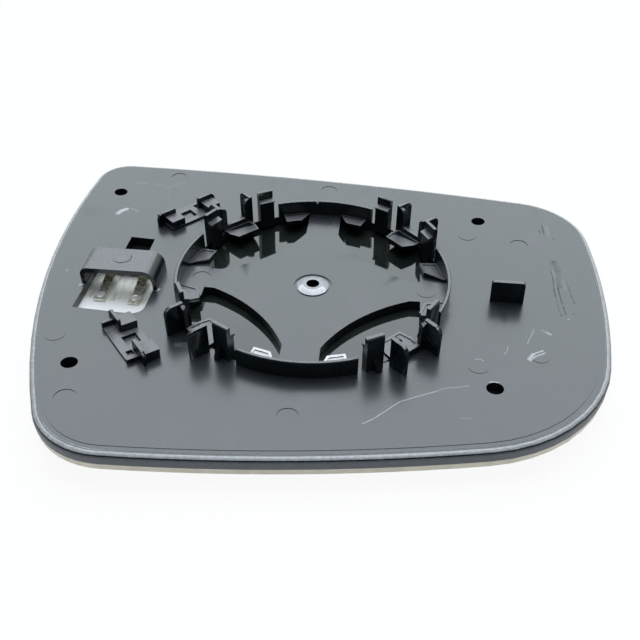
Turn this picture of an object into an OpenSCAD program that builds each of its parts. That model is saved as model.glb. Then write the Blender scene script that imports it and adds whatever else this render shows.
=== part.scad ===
// Door mirror glass with its heater sheets and moulded clip-on backing plate.
// It lies glass down: the glass is convex, so its middle is the lowest point.
// The origin is on the axis of the glass, at its lowest point; +X is to the wide
// right-hand end, +Y to the back edge and +Z up, towards the clips.
// Heights named h are measured along the glass axis from the front of the glass.

/* [Outline] */
// Distance of the back right corner's centre to the right of the ring's centre
back_right_x = 65.6; // [60:0.1:75]
// Distance of the back right corner's centre behind the ring's centre
back_right_y = 30.5; // [26:0.1:38]
// Radius of the back right corner
back_right_r = 26.5; // [18:0.5:32]
// Distance of the back left corner's centre to the left of the ring's centre
back_left_x = 77.8; // [74:0.1:86]
// Distance of the back left corner's centre behind the ring's centre
back_left_y = 54.3; // [50:0.1:60]
// Radius of the back left corner
back_left_r = 12.25; // [10:0.25:18]
// Distance of the front left corner's centre to the left of the ring's centre
front_left_x = 46; // [42:0.1:54]
// Distance of the front left corner's centre in front of the ring's centre
front_left_y = 55.7; // [50:0.1:62]
// Radius of the front left corner
front_left_r = 23; // [18:0.5:28]
// Distance of the front right corner's centre to the right of the ring's centre
front_right_x = 44.5; // [40:0.1:52]
// Distance of the front right corner's centre in front of the ring's centre
front_right_y = 23.1; // [18:0.1:32]
// Radius of the front right corner
front_right_r = 44.4; // [34:0.2:48]
// Radius of the bulged back edge
back_edge_r = 460; // [300:5:900]
// Radius of the bulged left edge
left_edge_r = 220; // [180:5:400]
// Radius of the bulged front edge
front_edge_r = 820; // [500:10:1500]
// Radius of the bulged right edge
right_edge_r = 225; // [180:5:400]

/* [Glass and sheets] */
// Radius of the convex face of the glass
mirror_r = 1250; // [1000:10:2000]
// Thickness of the glass
glass_t = 2.2; // [1.6:0.1:3]
// Step from the rim of the plate in to the edge of the glass
glass_inset = 0.2; // [0.1:0.05:1]
// Width of the ground bevel at the front edge of the glass
glass_bevel = 0.2; // [0.1:0.05:0.8]
// Thickness of the heater film
film_t = 0.4; // [0.2:0.05:0.6]
// Thickness of the adhesive sheet
adhesive_t = 0.4; // [0.3:0.05:0.8]
// Gap between the edges of the sheets and the foot of the rim
sheet_gap = 0.8; // [0.4:0.1:2]
// Step from the plate's openings back to the edge of the adhesive
adhesive_back = 0.6; // [0.3:0.1:1.5]

/* [Backing plate] */
// Thickness of the plate
plate_t = 2.8; // [2.2:0.1:4]
// Width of the rim's foot, which lands on the glass
foot_w = 1.6; // [1.2:0.1:2.4]
// Radius of the rim's shoulder
shoulder_r = 1.5; // [0.8:0.1:2]
// Width of the lowered band inside the fine step
band_w = 1.3; // [0.8:0.1:3]
// Depth of the lowered band
band_drop = 0.15; // [0.1:0.05:0.3]
// Width of the fine step beside the shoulder
rim_step_w = 0.4; // [0.2:0.1:1]
// Depth of that step
rim_step = 0.1; // [0.05:0.05:0.2]
// Radius of the ejector marks
ejector_r = 3; // [2:0.1:4]
// Depth of the ejector marks
ejector_depth = 0.15; // [0.1:0.05:0.3]

/* [Locating holes] */
// Bore of the four locating holes
hole_d = 4.8; // [3:0.1:6]
// Distance of the back right hole to the right of the ring's centre
hole_back_right_x = 55.4; // [53:0.1:60]
// Distance of the back right hole behind the ring's centre
hole_back_right_y = 42.5; // [40:0.1:46]
// Distance of the back left hole to the left of the ring's centre
hole_back_left_x = 78.3; // [72:0.1:80]
// Distance of the back left hole behind the ring's centre
hole_back_left_y = 46; // [40:0.1:52]
// Distance of the front left hole to the left of the ring's centre
hole_front_left_x = 63.6; // [60:0.1:66]
// Distance of the front left hole in front of the ring's centre
hole_front_left_y = 46.6; // [45:0.1:50]
// Distance of the front right hole to the right of the ring's centre
hole_front_right_x = 54.9; // [52:0.1:58]
// Distance of the front right hole in front of the ring's centre
hole_front_right_y = 43.3; // [40:0.1:46]

/* [Clip ring] */
// Outer radius of the ring wall
ring_r = 44; // [42:0.25:46]
// Thickness of the ring wall
ring_wall = 1.2; // [1:0.1:1.8]
// Top of the ring wall above the middle of the plate
ring_h = 6.3; // [5:0.1:8]
// Half the sweep of each of the four arcs of the ring wall
arc_half = 23.2; // [20:0.2:24]
// Width of the notch in the top of the back arc
notch_w = 0.8; // [0.4:0.1:2]
// Depth of the notch in the top of the back arc
notch_depth = 0.8; // [0.4:0.1:2]
// Half the width of the arms of the star in front and behind
arm_half = 5.2; // [4:0.1:7]
// Half the width of the arms of the star at the sides
side_arm_half = 5.7; // [4.5:0.1:7]
// Distance from the centre to the star's edge on each diagonal
star_waist = 22.2; // [18:0.2:26]
// Radius of the star's curved edges
star_edge_r = 48; // [40:1:60]
// Step from the outside of the ring wall in to the broad foot of each side arm
star_foot_x = 9.3; // [7:0.1:11]
// Half the width of that foot where it starts
star_foot_y = 9.6; // [8:0.1:11]
// Radius of the low cone around the centre hole
boss_r = 5.2; // [4:0.1:6]
// Radius of the cone's flat top
boss_top_r = 3.2; // [2.8:0.1:3.6]
// Height of the cone
boss_h = 0.9; // [0.4:0.1:2]
// Width of the groove around the cone
groove_w = 1; // [0.6:0.1:1.6]
// Depth of that groove
groove_depth = 0.3; // [0.1:0.1:0.8]
// Bore of the centre hole
centre_hole_d = 4.2; // [3:0.1:5]

/* [Hooked fingers] */
// Angle of each finger off the diagonal between the arcs
finger_angle = 15.2; // [14.5:0.1:16]
// Width of a finger
finger_w = 5.4; // [4:0.1:5.8]
// Top of a finger above the middle of the plate
finger_h = 12.3; // [10:0.1:15]
// Thickness of a finger below its ledge
finger_t = 2.7; // [2:0.1:3.2]
// Thickness of the tongue above the ledge
tongue_t = 1.5; // [0.8:0.1:1.6]
// Height of the tongue above the ledge
tongue_h = 3.4; // [2:0.1:4.5]
// Drop of the ledge from the tongue to the tip of the barb
ledge_drop = 0.6; // [0:0.1:1]
// Reach of the barb past the finger
barb = 0.6; // [0.3:0.1:1]
// Height of the barb
barb_h = 1; // [0.6:0.1:1.6]
// Reach of the buttress at a finger's foot
buttress = 1.8; // [1:0.1:2.4]
// Width of the buttress
buttress_w = 1.6; // [1:0.1:2.4]
// Height of the buttress above the plate
buttress_h = 6.5; // [4:0.1:8]

/* [Bridge and fins] */
// Step from the outside of the ring wall out to the bridge's outer face
bridge_u = 0.9; // [0.2:0.1:1.4]
// Thickness of the bridge and of the fins
bridge_t = 1.2; // [1:0.1:1.8]
// Top of the bridge above the middle of the plate
bridge_h = 3; // [2.2:0.1:4]
// Half the distance between the outer faces of a pair of fins
fin_half = 7.1; // [6.4:0.1:7.4]
// Reach of a fin outwards from the bridge
fin_reach = 4.9; // [4:0.1:8]
// Top of a fin above the middle of the plate
fin_h = 10.6; // [8:0.1:12]
// Radius of a fin's outer top corner
fin_corner_r = 2.4; // [1:0.1:3]
// Width of the post at the inner end of a fin
post_w = 3.3; // [2:0.1:4]
// Step from the top of a fin down to the top of its post
post_drop = 0.5; // [0:0.1:1]
// Radius of the post's free top corner
post_corner_r = 1.8; // [0.4:0.1:2]
// Step from the outside of the ring wall in to the inner edge of the shelf on the bridge
shelf_u = 7.9; // [6:0.1:10]
// Half the width of that inner edge
shelf_half = 4.2; // [3:0.1:5]
// Half the width of the shelf at its shoulders
shelf_wide = 5.4; // [4.4:0.1:6]
// Thickness of the shelves
shelf_t = 1.2; // [0.8:0.1:1.6]
// Height of a shelf's inner edge above the middle of the plate
shelf_h = 2.3; // [2:0.1:4]
// Drop of a shelf from its inner edge to the wall that carries it
shelf_drop = 0.9; // [0.5:0.1:1.4]
// Depth of the dish in the top of a shelf
shelf_dish = 0.3; // [0.1:0.05:0.5]
// Width of the rim around that dish
shelf_rim = 0.8; // [0.5:0.1:1.2]
// Angle of the small shelves off the middle of each arc
arc_shelf_angle = 17; // [15:0.5:18]
// Step from the outside of the ring wall in to the inner edge of the small shelves
arc_shelf_u = 7.4; // [5:0.1:10]
// Half the width of their inner edge
arc_shelf_half = 2.7; // [1.5:0.1:3]
// Reach of their foot along the wall towards the middle of the arc
arc_shelf_wide = 7.6; // [3:0.1:8]

/* [Terminal hood] */
// Gap between the ring wall and the window for the terminals
window_gap = 6.4; // [5:0.1:9]
// Width of the window
window_w = 21.7; // [18:0.1:24]
// Front edge of the window, in front of the ring's centre
window_front = 22.1; // [18:0.1:24]
// Back edge of the window, behind the ring's centre
window_back = 1; // [0:0.1:2]
// Radius of the window's front corner on the ring side
window_corner_r = 4; // [1:0.1:5]
// Wall of the hood's legs
hood_wall = 1.3; // [1:0.1:2]
// Thickness of the hood's roof
hood_roof_t = 1.7; // [1:0.1:2.2]
// Clearance between the window and the legs of the hood
hood_gap = 0.1; // [0.1:0.1:1]
// Front edge of the hood, in front of the ring's centre
hood_front = 9.4; // [7:0.1:12]
// Length of the hood
hood_l = 11.4; // [9:0.1:14]
// Height of the hood above the plate
hood_h = 6.6; // [5.4:0.1:8]
// Rise of the roof towards the back, in degrees
hood_tilt = 2; // [0:0.5:3]
// Distance of the round mark on the roof behind the hood's front edge
hood_mark_y = 6.9; // [4:0.1:8]
// Outer radius of the hood's shoulder on the ring side
hood_right_r = 4.4; // [2.5:0.1:5]
// Outer radius of the hood's other shoulder
hood_left_r = 2.8; // [2.2:0.1:4]
// Width of the slot behind the hood
slot_w = 8.3; // [6:0.1:12]
// Shift of the slot to the left of the middle of the window
slot_shift = 0.5; // [0:0.1:2]
// Front edge of the slot, behind the ring's centre
slot_front = 6.5; // [5:0.1:9]
// Back edge of the slot, behind the ring's centre
slot_back = 18.6; // [15:0.1:22]

/* [Terminals] */
// Pitch of the two terminals
terminal_pitch = 11; // [9:0.1:12]
// Width of a terminal's blade
blade_w = 2.8; // [2.4:0.1:3.4]
// Thickness of a terminal
blade_t = 0.8; // [0.5:0.1:1]
// Length of a terminal's blade
blade_l = 10; // [8:0.1:12]
// Slope of the blade
blade_slope = 12; // [8:0.5:14]
// Length of a terminal's foot
foot_l = 4.4; // [3.6:0.1:5]
// Width of a terminal's foot
foot_plate_w = 3.6; // [3.2:0.1:4.4]
// Distance of the rivet in front of the ring's centre
rivet_y = 12.4; // [11:0.1:14]
// Diameter of the rivet's shank
rivet_d = 1.6; // [1.2:0.1:2]
// Diameter of the rivet's head
rivet_head_d = 2.8; // [2.2:0.1:3.2]
// Height of the rivet's head
rivet_head_h = 0.5; // [0.3:0.1:0.8]
// Thickness of the insulating patch under the terminals
patch_t = 0.3; // [0.2:0.05:0.35]
// Margin of the patch around the window
patch_margin = 1.2; // [0.6:0.1:2]

/* [Cable clips and tab] */
// Distance of the holes of the cable clips to the left of the outside of the ring wall
clip_x = 5.5; // [5:0.1:8]
// Distance of the back cable clip's hole behind the ring's centre
clip_back_y = 34.9; // [34:0.1:38]
// Distance of the front cable clip's hole in front of the ring's centre
clip_front_y = 34.7; // [32:0.1:36]
// Angle of the cable clips to the X axis
clip_angle = 49; // [44:0.5:52]
// Length of the base of a cable clip
cable_clip_l = 18.8; // [18:0.2:24]
// Width of the base of a cable clip
cable_clip_w = 9.2; // [8:0.1:10]
// Reach of the base from the middle of its hole towards the ring
clip_base_front = 4.2; // [3.6:0.1:5]
// Reach of the base from the middle of its hole towards its second end
clip_base_end = 9; // [8.4:0.1:11]
// Length of the blocks of a cable clip
clip_block_l = 5.2; // [4:0.1:6]
// Width of the blocks of a cable clip
clip_block_w = 4.8; // [3.4:0.1:5]
// Gap between the two blocks
clip_block_gap = 10.2; // [9:0.1:12]
// Shift of both blocks towards the second end
clip_block_shift = 0.85; // [0:0.05:1]
// Distance of the back of the blocks behind the middle of the hole
clip_block_side = 0.8; // [0.4:0.1:1.2]
// Height of the base of a cable clip
clip_base_h = 0.8; // [0.5:0.1:1.4]
// Height of the blocks of a cable clip
clip_block_h = 3.3; // [2:0.1:4]
// Height of the fins of a cable clip
clip_fin_h = 5; // [3.4:0.1:6]
// Thickness of the fins of a cable clip
clip_fin_t = 0.9; // [0.8:0.1:1.4]
// Length of the fins of a cable clip
clip_fin_l = 7.4; // [6:0.1:9]
// Gap between the two fins of a cable clip
clip_fin_gap = 9.7; // [9:0.1:12]
// Height of the low stop at the first end of a cable clip
clip_stop_h = 2.6; // [1.4:0.1:3.2]
// Side of the hole in the middle of a cable clip
clip_hole = 4.4; // [3:0.1:5]
// Gap between the ring wall and the tab
tab_gap = 12.4; // [8:0.1:16]
// Distance of the tab in front of the ring's centre
tab_y = 3.4; // [0:0.1:8]
// Turn of the tab
tab_turn = 4; // [0:0.5:8]
// Width of the tab
tab_w = 10.2; // [8:0.1:13]
// Thickness of the tab
tab_t = 1.2; // [1:0.1:2]
// Height of the tab above the plate
tab_h = 7.6; // [6:0.1:10]
// Radius of the tab's top corners
tab_corner_r = 1; // [0.5:0.1:2]

/* [Hidden] */
$fn = 96;
e = 0.01;
corner_steps = 9;
edge_steps = 12;

// The stack of sheets, as heights above the front of the glass
film_h = glass_t;
adhesive_h = film_h + film_t;
plate_h = adhesive_h + adhesive_t;
deck_h = plate_h + plate_t;
patch_h = adhesive_h;
terminal_h = patch_h + patch_t;
seat_lift = 0.01; // keeps a flat foot clear of the hollow sheet under it
tall = 2 * (deck_h + finger_h); // higher than all that stands on the plate

// The outline: four corner circles, joined by four bulged edges that run tangent to them
corners = [[back_right_x, back_right_y, back_right_r], [-back_left_x, back_left_y, back_left_r],
    [-front_left_x, -front_left_y, front_left_r], [front_right_x, -front_right_y, front_right_r]];
edges = [back_edge_r, left_edge_r, front_edge_r, right_edge_r];
function spot(c) = [c[0], c[1]];
function heading(v) = atan2(v[1], v[0]);
function turn(from, to) = from + ((to - from) % 360 + 360) % 360;
function edge_centre(i) = let (a = corners[i], b = corners[(i + 1) % 4], r = edges[i],
    span = spot(b) - spot(a), d = norm(span),
    along = (pow(r - a[2], 2) - pow(r - b[2], 2) + d * d) / (2 * d),
    off = sqrt(pow(r - a[2], 2) - along * along))
    spot(a) + span / d * along + [-span[1], span[0]] / d * off;
function arc_points(centre, r, from, to, steps) = [for (i = [0:steps - 1])
    let (t = from + (turn(from, to) - from) * i / steps) centre + r * [cos(t), sin(t)]];
function outline_at(inset) = [for (i = [0:3]) let (c = spot(corners[i]),
    before = heading(c - edge_centre((i + 3) % 4)), after = heading(c - edge_centre(i)),
    next = heading(spot(corners[(i + 1) % 4]) - edge_centre(i)))
    each concat(arc_points(c, corners[i][2] - inset, before, after, corner_steps),
        arc_points(edge_centre(i), edges[i] - inset, after, next, edge_steps))];
rim_points = outline_at(0);
ring_at = -[for (k = [0, 1])
    (max([for (p = rim_points) p[k]]) + min([for (p = rim_points) p[k]])) / 2];
function outline(inset) = [for (p = outline_at(inset)) p + ring_at];

// Every layer is a shell between two spheres about one centre, high on the glass axis
function height_z(p, h) = mirror_r - sqrt(pow(mirror_r - h, 2) - p * p);
function deck_z(p) = height_z(p + ring_at, deck_h);
ring_z = deck_z([0, 0]);
foot_z = ring_z - plate_t / 2;
module ball(h) translate([0, 0, mirror_r]) rotate([90, 0, 0]) sphere(r = mirror_r - h, $fn = 256);
module layer(from, to) difference() {
    intersection() {
        translate([0, 0, -plate_t]) linear_extrude(tall) children();
        ball(from);
    }
    ball(to);
}
module at_ring() translate([ring_at[0], ring_at[1], 0]) children();
// Stands a piece square on the sphere of height h, at p from the ring's centre
module seat(p, h) translate([0, 0, mirror_r])
    rotate(a = -asin(norm(p + ring_at) / (mirror_r - h)), v = [-(p + ring_at)[1], (p + ring_at)[0], 0])
        translate([0, 0, h - mirror_r]) children();
// A closed profile of [inset, height] points, swept once round the outline
module swept(profile) {
    n = len(rim_points);
    m = len(profile);
    polyhedron(
        [for (q = profile) for (p = outline(q[0])) [p[0], p[1], height_z(p, q[1])]],
        [for (k = [0:m - 1]) for (i = [0:n - 1]) let (j = (i + 1) % n, a = k * n, b = (k + 1) % m * n)
            each [[a + i, b + j, a + j], [a + i, b + i, b + j]]]);
}

// Glass and sheets
module mirror_glass() color("#c9bfa8") difference() {
    layer(0, glass_t) polygon(outline(glass_inset));
    swept([[glass_inset + 2 * glass_bevel, -glass_bevel], [glass_inset - glass_bevel, 2 * glass_bevel],
        [glass_inset - 3 * glass_bevel, 2 * glass_bevel], [glass_inset - 3 * glass_bevel, -glass_bevel]]);
}
sheet_inset = foot_w + sheet_gap;
module rivet_holes() for (side = [-1, 1])
    seat(rivet_at(side), film_h) translate([0, 0, -film_t]) cylinder(d = rivet_d, h = tall);
module heater_film() color("#7d8278") difference() {
    layer(film_h, adhesive_h) polygon(outline(sheet_inset));
    rivet_holes();
}
module adhesive_sheet() color("#b9bcbd") difference() {
    layer(adhesive_h, plate_h) polygon(outline(sheet_inset));
    at_ring() linear_extrude(tall) {
        star_openings(adhesive_back);
        window(patch_margin + adhesive_back);
        slot(adhesive_back);
        holes(adhesive_back);
        circle(d = centre_hole_d + 2 * adhesive_back);
    }
}

// Plan of the plate's openings; grow moves their edges outwards
ring_in = ring_r - ring_wall;
bridge_out = ring_r + bridge_u;
bridge_in = bridge_out - bridge_t;
foot_in = ring_r - star_foot_x;
star_centre = star_waist + star_edge_r;
module star_openings(grow = 0) for (k = [0:3]) difference() {
    rotate(45 + 90 * k) {
        intersection() {
            circle(r = ring_in + grow);
            translate([star_centre, 0]) circle(r = star_edge_r + grow, $fn = 192);
            rotate(-45) translate([arm(k % 2) - grow, arm(1 - k % 2) - grow]) square(2 * ring_r);
        }
        translate([bridge_in - corner_bite, -post_out]) square([corner_bite + grow, 2 * post_out]);
    }
    for (m = [0, 1]) mirror([m, 0]) for (n = [0, 1]) mirror([0, n])
        polygon([[foot_in + grow, 0], [foot_in + grow, star_foot_y - grow],
            [foot_in + foot_run, star_foot_y + foot_rise - grow], [ring_r, star_foot_y + foot_rise - grow],
            [ring_r, 0]]);
}
corner_bite = 4; // each opening ends this far in front of its bridge
foot_run = 3.3; // the broad foot widens by foot_rise over this length
foot_rise = 4.7;
function arm(k) = k == 0 ? side_arm_half : arm_half;
window_right = -(ring_r + window_gap);
window_mid = window_right - window_w / 2;
module window(grow = 0) translate([window_right, -window_front]) difference() {
    translate([-window_w - grow, -grow])
        square([window_w + 2 * grow, window_front + window_back + 2 * grow]);
    translate([grow, -grow]) corner(window_corner_r);
}
// What a round corner of radius r takes off a square corner at the lower right
module corner(r) difference() {
    translate([-r, -1]) square([r + 1, r + 1]);
    translate([-r, r]) circle(r = r);
}
module slot(grow = 0) translate([window_mid - slot_shift - slot_w / 2 - grow, slot_front - grow])
    square([slot_w + 2 * grow, slot_back - slot_front + 2 * grow]);
hole_spots = [[hole_back_right_x, hole_back_right_y], [-hole_back_left_x, hole_back_left_y],
    [-hole_front_left_x, -hole_front_left_y], [hole_front_right_x, -hole_front_right_y]];
module holes(grow = 0) for (p = hole_spots) translate(p) circle(d = hole_d + 2 * grow);

// Terminals
function rivet_at(side) = [window_mid + side * terminal_pitch / 2, -rivet_y];
module terminal_patch() color("#c8cacb") difference() {
    layer(patch_h, terminal_h) translate(ring_at) window(patch_margin);
    rivet_holes();
}
module terminal(side) color("#b8babc") seat(rivet_at(side), film_h)
    translate([0, 0, terminal_h - film_h + seat_lift]) difference() {
    union() {
        translate([-foot_plate_w / 2, -foot_l / 2, 0]) cube([foot_plate_w, foot_l, blade_t]);
        translate([blade_w / 2, 0, 0]) rotate([0, -90, 0]) linear_extrude(blade_w)
            polygon([[0, foot_l / 2 - 0.8], [0, foot_l / 2],
                [blade_rise, foot_l / 2 + blade_run], [blade_rise + blade_t, foot_l / 2 + blade_run],
                [blade_t, foot_l / 2 - 0.1], [blade_t, foot_l / 2 - 0.8]]);
    }
    translate([0, 0, -1]) cylinder(d = rivet_d, h = 4);
}
blade_run = blade_l * cos(blade_slope);
blade_rise = blade_l * sin(blade_slope);
module terminal_left() terminal(-1);
module terminal_right() terminal(1);
module rivet(side) color("#d4d5d6") seat(rivet_at(side), film_h) {
    translate([0, 0, seat_lift]) cylinder(d = rivet_d, h = terminal_h - film_h + blade_t + 0.1);
    translate([0, 0, terminal_h - film_h + blade_t + seat_lift])
        cylinder(d = rivet_head_d, h = rivet_head_h);
}
module rivet_left() rivet(-1);
module rivet_right() rivet(1);

// The plate stands on the glass with its rim; a swept cut gives the rim its lowered band,
// its fine step and its round shoulder
band_h = deck_h - band_drop;
rim_h = band_h - rim_step;
shoulder_steps = 6;
step_at = shoulder_r + rim_step_w;
band_at = step_at + rim_step + band_w;
module rim_cut() swept(concat(
    [[-1, deck_h + 0.6], [band_at, deck_h + 0.6], [band_at, band_h], [step_at + rim_step, band_h],
        [step_at, rim_h], [shoulder_r, rim_h]],
    [for (i = [1:shoulder_steps - 1]) let (t = 90 * i / shoulder_steps)
        [shoulder_r * (1 - sin(t)), rim_h - shoulder_r * (1 - cos(t))]],
    [[-0.05, rim_h - shoulder_r - 0.1], [-1, rim_h - shoulder_r - 0.1]]));
module plate_blank() difference() {
    layer(glass_t, deck_h) polygon(outline(0));
    layer(glass_t - 1, plate_h) polygon(outline(foot_w));
    rim_cut();
}

// Ejector marks as [x, y, radius] about the ring's centre
arm_mark = ring_r - 7.3;
marks = [[-59.5, 60.5, 1], [-0.4, 59.5, 1], [51.2, 33.4, 1], [68.4, 28.2, 1], [-72.3, -35.3, 1],
    [-59.7, -60, 1], [0, -59, 1], [51, -34.4, 1], [68.7, -29.6, 0.8], [34.4, -34, 0.6],
    [-34.4, -34, 0.6], [arm_mark, 0, 1], [-arm_mark, 0, 1], [-0.3, arm_mark + 0.8, 1]];

module ring_walls() for (k = [0:3]) rotate(90 * k - arc_half) difference() {
    translate([0, 0, foot_z]) rotate_extrude(angle = 2 * arc_half)
        translate([ring_in, 0]) square([ring_wall, ring_z - foot_z + ring_h]);
    if (k == 1) rotate(arc_half + 4) translate([ring_in - 1, -notch_w / 2, ring_z + ring_h - notch_depth])
        cube([ring_wall + 2, notch_w, notch_depth + 1]);
}
// One hooked finger, seen from the side: outer face, tongue, ledge and barb
ledge_z = ring_z + finger_h - tongue_h;
finger_chamfer = 0.4; // taken off a finger's outer top edge, twice as tall as deep
barb_edge = 0.3; // upright face at the tip of the barb
module finger() rotate([90, 0, 0]) linear_extrude(finger_w, center = true) polygon([
    [ring_r, foot_z], [ring_r, ring_z + finger_h - 2 * finger_chamfer],
    [ring_r - finger_chamfer, ring_z + finger_h],
    [ring_r - tongue_t, ring_z + finger_h], [ring_r - tongue_t, ledge_z + ledge_drop],
    [ring_r - finger_t - barb, ledge_z], [ring_r - finger_t - barb, ledge_z - barb_edge],
    [ring_r - finger_t, ledge_z - barb_h], [ring_r - finger_t, foot_z]]);
buttress_sink = 0.5; // reach of the buttress into the finger
buttress_foot = 1.5; // height of its upright foot
buttress_shift = 0.6; // off the middle of the finger, towards the bridge
module finger_buttress() rotate([90, 0, 0]) linear_extrude(buttress_w, center = true) polygon([
    [ring_r - buttress_sink, foot_z], [ring_r + buttress, foot_z],
    [ring_r + buttress, ring_z + buttress_foot], [ring_r - buttress_sink / 2, ring_z + buttress_h],
    [ring_r - buttress_sink, ring_z + buttress_h]]);
// A fin beside the bridge, with the post at its inner end
module fin() {
    rotate([90, 0, 0]) linear_extrude(bridge_t, center = true) difference() {
        translate([bridge_in, foot_z]) square([fin_reach + bridge_t, ring_z + fin_h - foot_z]);
        translate([bridge_out + fin_reach, ring_z + fin_h]) rotate(90) corner(fin_corner_r);
    }
}
// The post stands across the fin's inner end, with its free top corner rounded
post_h = ring_z + fin_h - post_drop - foot_z;
module post() translate([bridge_in, fin_half, foot_z]) rotate([90, 0, 90]) linear_extrude(bridge_t)
    difference() {
        translate([-post_w, 0]) square([post_w - 0.1, post_h]);
        translate([-post_w, post_h]) rotate(180) corner(post_corner_r);
    }
post_out = fin_half - bridge_t;
module bridge_group() {
    for (m = [0, 1]) mirror([0, m, 0]) {
        rotate(finger_angle) {
            finger();
            translate([0, -buttress_shift, 0]) finger_buttress();
        }
        translate([0, fin_half - bridge_t / 2, 0]) fin();
        post();
    }
    translate([bridge_in, -fin_half + 0.1, foot_z])
        cube([bridge_t, 2 * fin_half - 0.2, ring_z + bridge_h - foot_z]);
    bridge_shelf();
}
// Plan of the shelf on the bridge; in is the inset of its dish
shoulder_run = 4; // the shelf reaches its full width this far from its inner edge
shelf_sink = 0.2; // reach of the shelves into the walls that carry them
module bridge_shelf_plan(in) let (u = ring_r - shelf_u, wall = bridge_in + (in > 0 ? -in : shelf_sink))
    polygon([[u + in, -shelf_half + in * 0.8], [u + shoulder_run, -shelf_wide + in],
        [wall, -shelf_wide + in], [wall, shelf_wide - in],
        [u + shoulder_run, shelf_wide - in], [u + in, shelf_half - in * 0.8]]);
// Plan of a small shelf: one side is square, and the other leans out along the wall
module arc_shelf_plan(in) let (u = ring_r - arc_shelf_u, wall = ring_in + (in > 0 ? -in : 1.5 * shelf_sink))
    polygon([[u + in, -arc_shelf_half + in * 0.5], [wall, -arc_shelf_wide + in * 1.6],
        [wall, arc_shelf_half - in], [u + in, arc_shelf_half - in]]);
// A shelf that slopes down from its inner edge at u to the wall that carries it. Its plan is the
// first child, and the plan of the dish in its top is the second
module shelf(u, wall, wide) difference() {
    intersection() {
        linear_extrude(tall) children(0);
        shelf_slice(u, wall, wide, 0, -shelf_t);
    }
    intersection() {
        linear_extrude(tall) children(1);
        shelf_slice(u, wall, wide, 1, -shelf_dish);
    }
}
module shelf_slice(u, wall, wide, top, bottom) rotate([90, 0, 0])
    linear_extrude(2 * wide + 1, center = true) translate([0, ring_z + shelf_h])
        polygon([[u - e, top], [u - e, bottom], [wall + e, bottom - shelf_drop],
            [wall + e, top - shelf_drop]]);
module bridge_shelf() shelf(ring_r - shelf_u, bridge_in + shelf_sink, shelf_wide) {
    bridge_shelf_plan(0);
    bridge_shelf_plan(shelf_rim);
}
module arc_shelf() shelf(ring_r - arc_shelf_u, ring_in + 1.5 * shelf_sink, arc_shelf_wide) {
    arc_shelf_plan(0);
    arc_shelf_plan(shelf_rim);
}

// Hood over the terminals: an arch with a tighter shoulder on the left
hood_left = window_right - window_w - hood_gap - hood_wall;
hood_w = window_right + hood_gap + hood_wall - hood_left;
hood_mid = [hood_left + hood_w / 2, -hood_front + hood_l / 2];
hood_z = deck_z(hood_mid);
module arch(w, h, left, right) difference() {
    square([w, h]);
    translate([w, h]) rotate(90) corner(right);
    translate([0, h]) rotate(180) corner(left);
}
module hood() translate([hood_left, -hood_front, foot_z + 1]) rotate([hood_tilt, 0, 0])
    translate([0, hood_l, 0]) {
        rotate([90, 0, 0]) linear_extrude(hood_l) difference() {
            arch(hood_w, hood_top, hood_left_r, hood_right_r);
            translate([hood_wall, -1]) arch(hood_w - 2 * hood_wall, hood_top + 1 - hood_roof_t,
                hood_left_r - hood_wall, hood_right_r - hood_wall);
        }
        translate([window_mid - hood_left, hood_mark_y - hood_l, hood_top - hood_roof_t / 2])
            cylinder(r = ejector_r, h = hood_roof_t / 2 + ejector_depth);
    }
hood_top = hood_z + hood_h - foot_z - 1;

// A cable clip along its own X axis, about the square hole in its base: two blocks, each with
// a fin at its back and a low stop beside the fin
clip_back = cable_clip_w - clip_base_front;
clip_slot_back = 0.85 * clip_hole; // back edge of the small slot beside the square hole
module cable_clip() difference() {
    union() {
        translate([clip_base_end - cable_clip_l, -clip_back, -1])
            cube([cable_clip_l, cable_clip_w, 1 + clip_base_h]);
        for (m = [-1, 1]) {
            translate([clip_block_shift + (m > 0 ? clip_block_gap / 2 : -clip_block_gap / 2 - clip_block_l),
                -clip_block_side, -1])
                cube([clip_block_l, clip_block_w, 1 + clip_block_h]);
            translate([m > 0 ? clip_fin_gap / 2 : -clip_fin_gap / 2 - clip_fin_l,
                -clip_block_side - clip_fin_t + 0.1, -1]) clip_fin(m);
        }
        translate([clip_base_end - cable_clip_l - 0.1, -clip_back, -1])
            cube([clip_fin_t, clip_back - clip_block_side - clip_fin_t / 2, 1 + clip_stop_h]);
        translate([clip_base_end - clip_fin_t, -clip_back - 0.1, -1])
            cube([clip_fin_t, clip_back - clip_block_side - clip_fin_t / 2, 1 + 2 * clip_base_h]);
    }
    translate([-clip_hole / 2, -clip_hole / 2, -plate_t - 1]) cube([clip_hole, clip_hole, tall]);
    translate([clip_hole, -clip_slot_back, -plate_t - 1])
        cube([clip_hole / 2, clip_slot_back - clip_block_side - clip_fin_t - 0.1, tall]);
}
// A fin with its outer top corner well rounded; side is 1 at the second end of the clip
clip_fin_r = 2.2; // radius of that corner
clip_fin_edge_r = 0.6; // radius of the fin's other top corner
module clip_fin(side) translate([0, clip_fin_t, 0]) rotate([90, 0, 0]) linear_extrude(clip_fin_t)
    difference() {
        square([clip_fin_l, 1 + clip_fin_h]);
        translate([clip_fin_l, 1 + clip_fin_h]) rotate(90) corner(side > 0 ? clip_fin_r : clip_fin_edge_r);
        translate([0, 1 + clip_fin_h]) rotate(180) corner(side > 0 ? clip_fin_edge_r : clip_fin_r);
    }
clip_spot_x = -(ring_r + clip_x);
module cable_clips() {
    seat([clip_spot_x, -clip_front_y], deck_h) rotate(-clip_angle) cable_clip();
    seat([clip_spot_x, clip_back_y], deck_h) mirror([0, 1, 0]) rotate(-clip_angle) cable_clip();
}
tab_at = [ring_r + tab_gap + tab_w / 2, -tab_y];
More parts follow.
